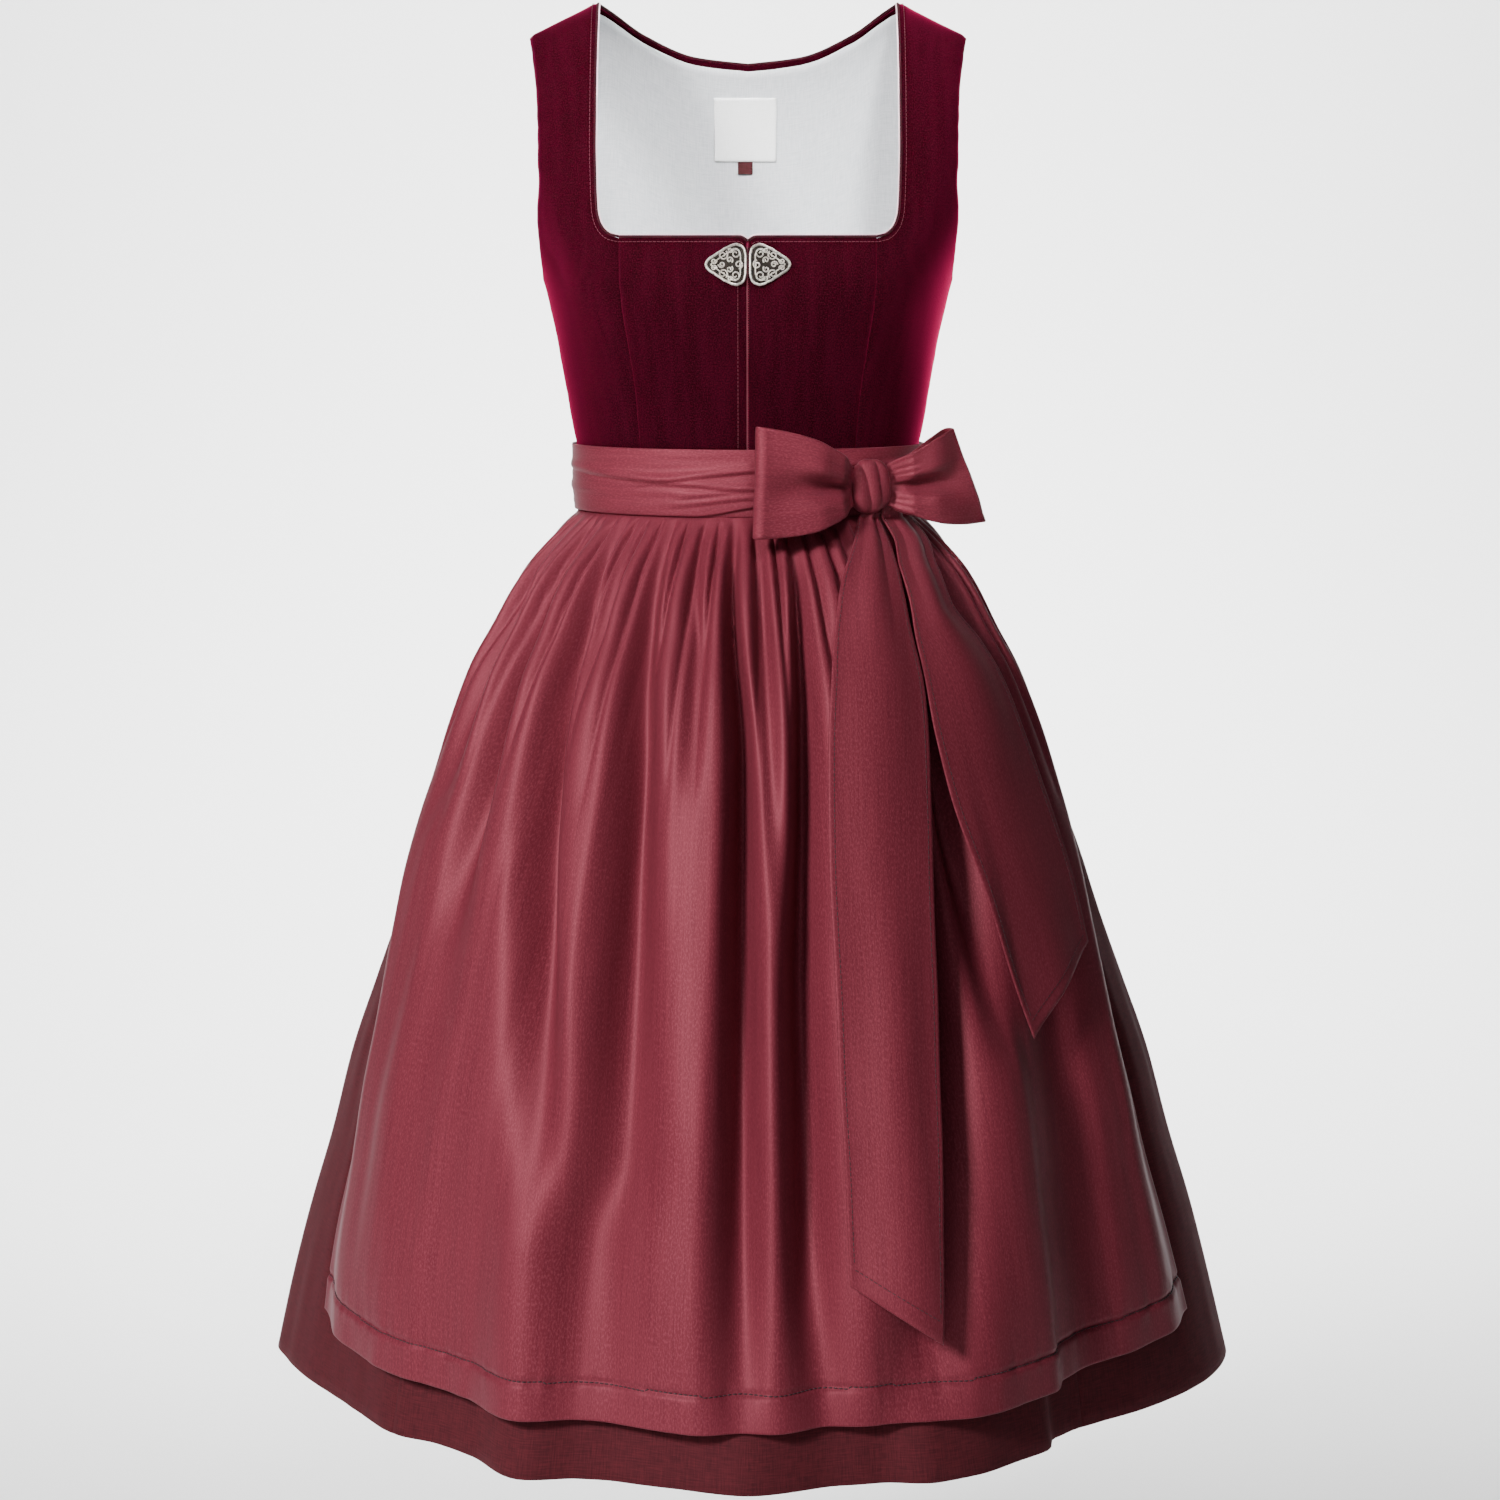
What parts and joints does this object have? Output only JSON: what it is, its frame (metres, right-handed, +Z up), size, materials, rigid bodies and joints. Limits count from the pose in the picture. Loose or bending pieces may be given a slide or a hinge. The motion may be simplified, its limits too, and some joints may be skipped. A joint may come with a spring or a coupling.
{
  "type": "dirndl dress with apron",
  "caption": "Sleeveless midi dirndl, filled out as worn: velvet bodice with a square neckline and a metal clasp, full gathered skirt, satin apron tied in a side bow.",
  "frame": {"origin": "middle of the shoulder line, where the wearer's shoulders carry the dress", "axes": "+Z up, -Y the wearer's front, +X the wearer's left"},
  "size_m": [0.683, 0.624, 0.9494],
  "materials": {
    "velvet": "short cut pile, wine red, bright where it is seen at a slant",
    "piping": "dark woven piping",
    "lining": "plain white woven cotton",
    "zip_tape": "dark red woven tape",
    "clasp": "cast metal, silver plated and blackened in its hollows",
    "label": "smooth woven tape, left bare",
    "tab": "smooth woven tape, left bare",
    "skirt": "plain fine twill, dull burgundy",
    "satin": "satin weave, burgundy with a soft sheen"
  },
  "bodies": {
    "root": {"front_left": "velvet", "front_right": "velvet", "side_front_left": "velvet", "side_front_right": "velvet", "side_back_left": "velvet", "side_back_right": "velvet", "back": "velvet", "neck_piping": "piping", "lining_front_left": "lining", "lining_front_right": "lining", "lining_back": "lining", "front_zip": "zip_tape", "clasp_left": "clasp", "clasp_right": "clasp", "neck_label": "label", "size_tab": "tab", "skirt_front": "skirt", "skirt_side_left": "skirt", "skirt_side_right": "skirt", "skirt_back": "skirt", "apron": "satin", "apron_waistband": "satin", "tie_wrap": "satin", "bow_knot": "satin", "bow_loop_left": "satin", "bow_loop_right": "satin", "tie_tail_long": "satin", "tie_tail_short": "satin"}
  },
  "joints": []
}
